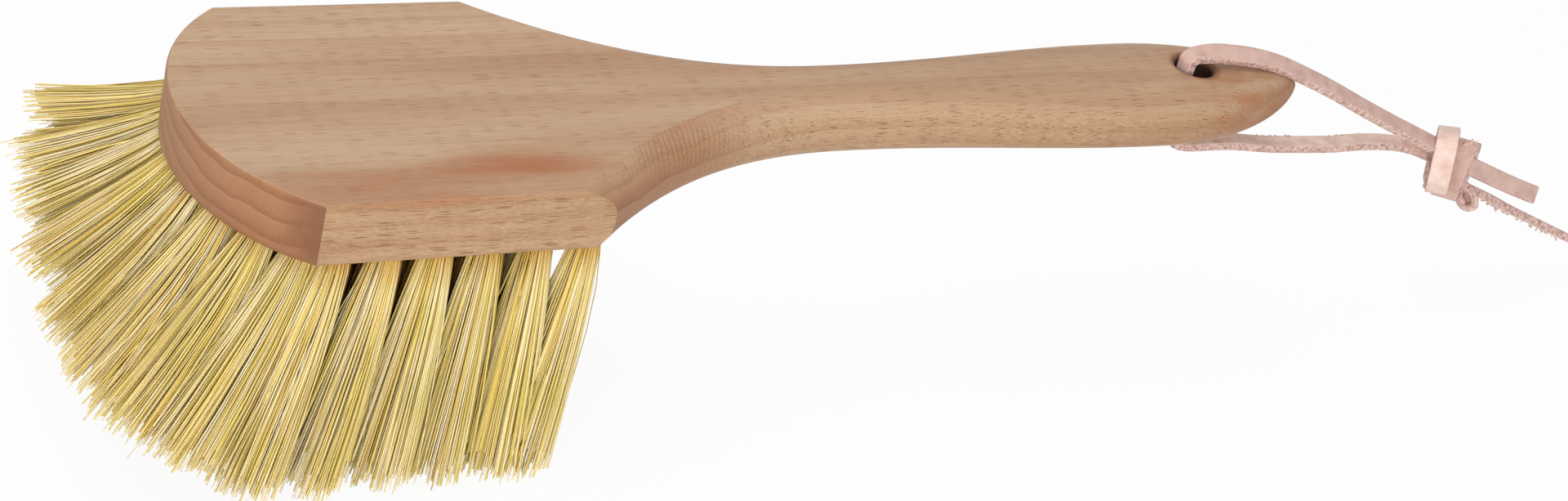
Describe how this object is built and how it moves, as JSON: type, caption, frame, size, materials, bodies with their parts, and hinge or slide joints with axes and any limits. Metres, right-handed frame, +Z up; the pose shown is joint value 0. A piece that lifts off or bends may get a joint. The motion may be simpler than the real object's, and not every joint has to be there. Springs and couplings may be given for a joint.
{
  "type": "hand scrubbing brush",
  "caption": "Wooden hand brush with an arched block, a one-piece handle, fanned plant-fibre tufts and a knotted leather hanging lace.",
  "frame": {"origin": "on the plane of the trimmed fibre tips, under the middle of the wood and fibre", "axes": "+X from the arched front to the handle and lace, +Y across the block, +Z up from the fibre tips to the block's top"},
  "size_m": [0.4441, 0.1348, 0.0804],
  "materials": {
    "beech": "oiled beech, fine sanded",
    "fibre": "raw plant fibre, straw yellow",
    "leather": "undyed leather, dusty pale pink"
  },
  "bodies": {
    "brush": {"wood_body": "beech", "tuft_01": "fibre", "tuft_02": "fibre", "tuft_03": "fibre", "tuft_04": "fibre", "tuft_05": "fibre", "tuft_06": "fibre", "tuft_07": "fibre", "tuft_08": "fibre", "tuft_09": "fibre", "tuft_10": "fibre", "tuft_11": "fibre", "tuft_12": "fibre", "tuft_13": "fibre", "tuft_14": "fibre", "tuft_15": "fibre", "tuft_16": "fibre", "tuft_17": "fibre", "tuft_18": "fibre", "tuft_19": "fibre", "tuft_20": "fibre", "tuft_21": "fibre", "tuft_22": "fibre", "tuft_23": "fibre", "tuft_24": "fibre", "tuft_25": "fibre", "tuft_26": "fibre", "tuft_27": "fibre", "tuft_28": "fibre", "tuft_29": "fibre", "tuft_30": "fibre", "tuft_31": "fibre", "tuft_32": "fibre", "tuft_33": "fibre", "tuft_34": "fibre", "tuft_35": "fibre", "tuft_36": "fibre", "tuft_37": "fibre", "tuft_38": "fibre", "tuft_39": "fibre", "tuft_40": "fibre", "tuft_41": "fibre", "tuft_42": "fibre", "tuft_43": "fibre", "tuft_44": "fibre", "tuft_45": "fibre", "tuft_46": "fibre", "tuft_47": "fibre", "tuft_48": "fibre"},
    "bight": {"lace_bight": "leather"},
    "loop": {"lace_upper": "leather", "lace_lower": "leather", "lace_knot": "leather", "lace_tail_long": "leather", "lace_tail_short": "leather"}
  },
  "joints": [
    {"name": "lace_swing", "type": "hinge", "parent": "brush", "child": "bight", "pos_m": [0.12763, 0, 0.068], "axis": [0, 0, 1], "range_deg": [-110, 110]},
    {"name": "lace_nod", "type": "hinge", "parent": "bight", "child": "loop", "pos_m": [0.12763, 0, 0.068], "axis": [0, -1, 0], "range_deg": [0, 8]}
  ]
}
